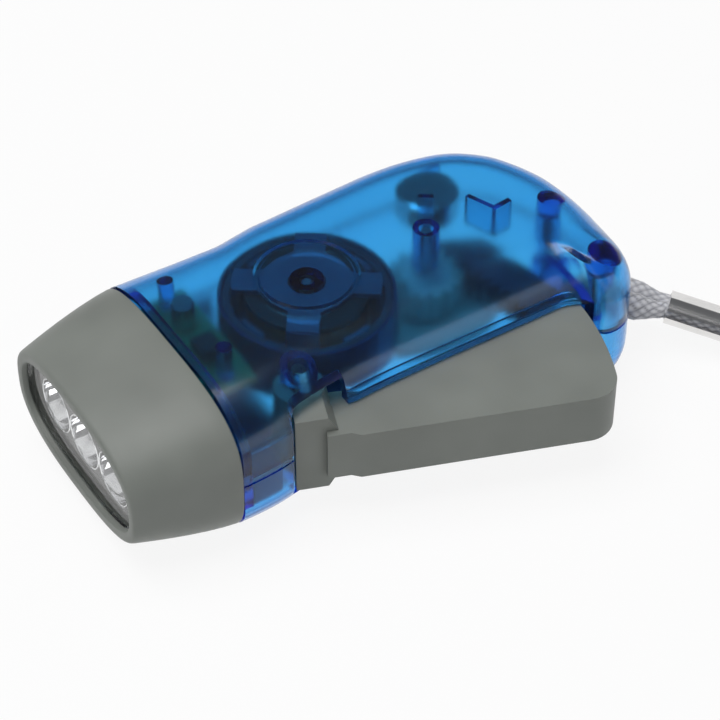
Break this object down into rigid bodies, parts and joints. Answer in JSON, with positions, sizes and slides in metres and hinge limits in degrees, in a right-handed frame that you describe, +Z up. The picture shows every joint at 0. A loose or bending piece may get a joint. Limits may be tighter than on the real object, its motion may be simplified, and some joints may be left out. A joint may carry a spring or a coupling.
{
  "type": "dynamo flashlight",
  "caption": "Hand-squeezed dynamo flashlight: translucent shells over a geared generator, hinged squeeze lever, lensed lamp head and a corded wrist loop.",
  "frame": {"origin": "centre of the torch's box at the height of its flat base, the wrist cord and what is on it left out", "axes": "+X from the lamp end to the tail, +Y from the lever side to the far side, +Z up from the flat base"},
  "size_m": [0.146, 0.1153, 0.0292],
  "materials": {
    "blue_shell": "translucent blue moulded plastic, satin inside",
    "grey_plastic": "fine moulded grey plastic",
    "clear_lens": "clear moulded plastic",
    "chromed_plastic": "bright vacuum-metallised plastic",
    "lamp_epoxy": "clear epoxy lamp body",
    "circuit_board": "green solder mask",
    "steel": "plain bright steel",
    "dark_steel": "black oxide on steel",
    "ferrite": "sintered magnet, matt",
    "white_nylon": "natural moulded nylon",
    "black_plastic": "moulded black plastic",
    "copper": "enamelled copper wire",
    "cell_metal": "plated steel can",
    "capacitor_can": "bare aluminium can",
    "cord": "braided polyester cord",
    "bright_metal": "bright plated sheet metal"
  },
  "bodies": {
    "case": {"upper_shell": "blue_shell", "lower_shell": "blue_shell", "head_bezel": "grey_plastic", "front_lens": "clear_lens", "reflector": "chromed_plastic", "near_lamp": "lamp_epoxy", "middle_lamp": "lamp_epoxy", "far_lamp": "lamp_epoxy", "lamp_board": "circuit_board", "lever_pin": "steel", "lever_spring": "steel", "first_gear_axle": "steel", "second_gear_axle": "steel", "upper_pole_plate": "steel", "lower_pole_plate": "steel", "coil_bobbin": "black_plastic", "stator_coil": "copper", "storage_cell": "cell_metal", "rectifier_board": "circuit_board", "rectifier_bridge": "black_plastic", "smoothing_capacitor": "capacitor_can", "tail_screw": "steel", "corner_screw": "steel", "wrist_cord": "cord", "cord_ferrule": "bright_metal", "cord_knot": "cord"},
    "lever": {"lever": "grey_plastic"},
    "first_gear": {"first_gear": "white_nylon"},
    "second_gear": {"second_gear": "white_nylon"},
    "rotor": {"rotor_pinion": "white_nylon", "flywheel_cup": "dark_steel", "ring_magnet": "ferrite", "rotor_axle": "steel"}
  },
  "joints": [
    {"name": "flywheel_spin", "type": "hinge", "parent": "case", "child": "rotor", "pos_m": [-0.00374, 0.01046, 0.0146], "axis": [0, 0, 1], "range_deg": [0, 1724.99]},
    {"name": "lever_swing", "type": "hinge", "parent": "case", "child": "lever", "pos_m": [-0.01574, -0.00624, 0.0146], "axis": [0, 0, 1], "range_deg": [0, 20], "stiffness_Nm_per_rad": 0.6, "springref_deg": -20.05},
    {"name": "first_gear_spin", "type": "hinge", "parent": "case", "child": "first_gear", "pos_m": [0.02091, 0.01077, 0.0146], "axis": [0, 0, 1], "range_deg": [0, 164.3]},
    {"name": "second_gear_spin", "type": "hinge", "parent": "case", "child": "second_gear", "pos_m": [0.0061, 0.01733, 0.0146], "axis": [0, 0, 1], "range_deg": [-575.1, 0]}
  ],
  "couplings": [
    {"joint": "lever_swing", "follows": "flywheel_spin", "ratio": 0.011594},
    {"joint": "first_gear_spin", "follows": "flywheel_spin", "ratio": 0.095238},
    {"joint": "second_gear_spin", "follows": "flywheel_spin", "ratio": -0.33333}
  ]
}
